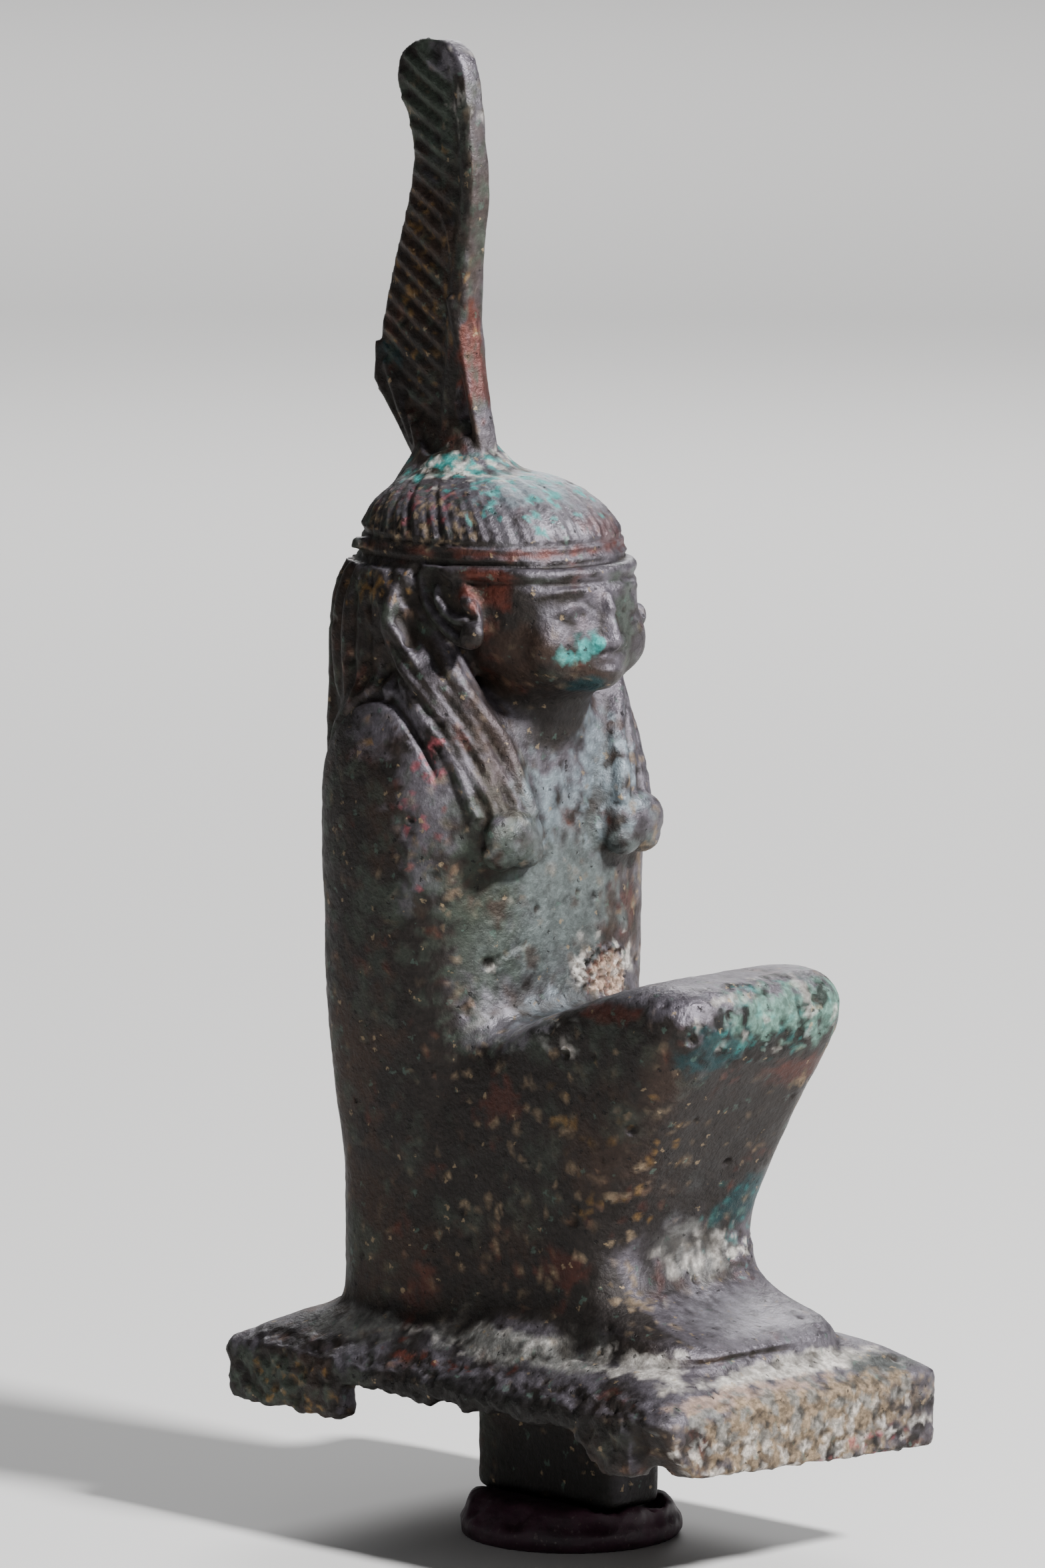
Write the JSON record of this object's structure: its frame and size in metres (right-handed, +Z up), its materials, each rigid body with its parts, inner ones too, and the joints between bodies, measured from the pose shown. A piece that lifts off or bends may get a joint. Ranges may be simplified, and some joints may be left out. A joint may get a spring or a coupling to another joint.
{
  "type": "maat figure",
  "caption": "Small cast bronze figure of a squatting cloaked goddess with a tall feather on her head, on a hollow plinth whose tang stands in a wax pad.",
  "frame": {"origin": "on the floor, under the centre of the plinth, which is the middle of the box", "axes": "+Z up; the figure faces -Y, and her right side is at -X"},
  "size_m": [0.0264, 0.041, 0.0984],
  "materials": {
    "bronze": "ancient cast bronze, brown-black and satin, with red-brown, green and pale crusts and grit in the hollows",
    "wax": "dark purple-brown museum wax, dull, with finger dents"
  },
  "bodies": {
    "root": {"maat_figure": "bronze", "wax_pad": "wax"}
  },
  "joints": []
}
